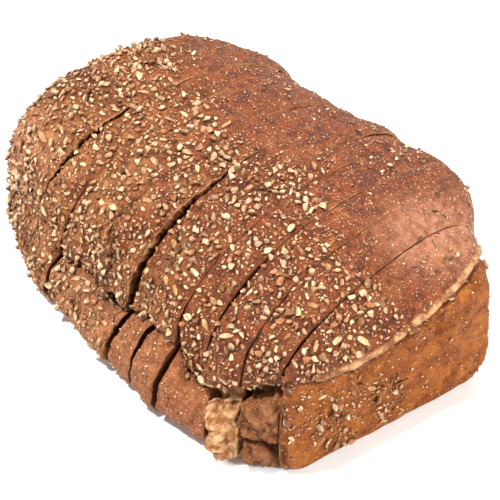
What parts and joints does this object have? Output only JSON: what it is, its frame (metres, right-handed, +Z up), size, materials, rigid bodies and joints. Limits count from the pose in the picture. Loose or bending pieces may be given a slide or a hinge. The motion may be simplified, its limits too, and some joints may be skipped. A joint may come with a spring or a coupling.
{
  "type": "sliced rye bread loaf",
  "caption": "A sliced oval rye bread loaf, its slices lying together as baked, with a domed crust strewn with cracked grain and a torn side.",
  "frame": {"origin": "centre of the base of the bounding box", "axes": "+Y runs along the loaf from the flat heel towards the rounded heel, +Z is up, +X runs across the loaf"},
  "size_m": [0.1488, 0.2076, 0.074],
  "materials": {
    "crust_heel_near": "matte baked crust and crumb",
    "crust_slice_01": "matte baked crust and crumb",
    "crust_slice_02": "matte baked crust and crumb",
    "crust_slice_03": "matte baked crust and crumb",
    "crust_slice_04": "matte baked crust and crumb",
    "crust_slice_05": "matte baked crust and crumb",
    "crust_slice_06": "matte baked crust and crumb",
    "crust_slice_07": "matte baked crust and crumb",
    "crust_slice_08": "matte baked crust and crumb",
    "crust_slice_09": "matte baked crust and crumb",
    "crust_heel_far": "matte baked crust and crumb"
  },
  "bodies": {
    "root": {"heel_near": "crust_heel_near", "slice_01": "crust_slice_01", "slice_02": "crust_slice_02", "slice_03": "crust_slice_03", "slice_04": "crust_slice_04", "slice_05": "crust_slice_05", "slice_06": "crust_slice_06", "slice_07": "crust_slice_07", "slice_08": "crust_slice_08", "slice_09": "crust_slice_09", "heel_far": "crust_heel_far"}
  },
  "joints": []
}
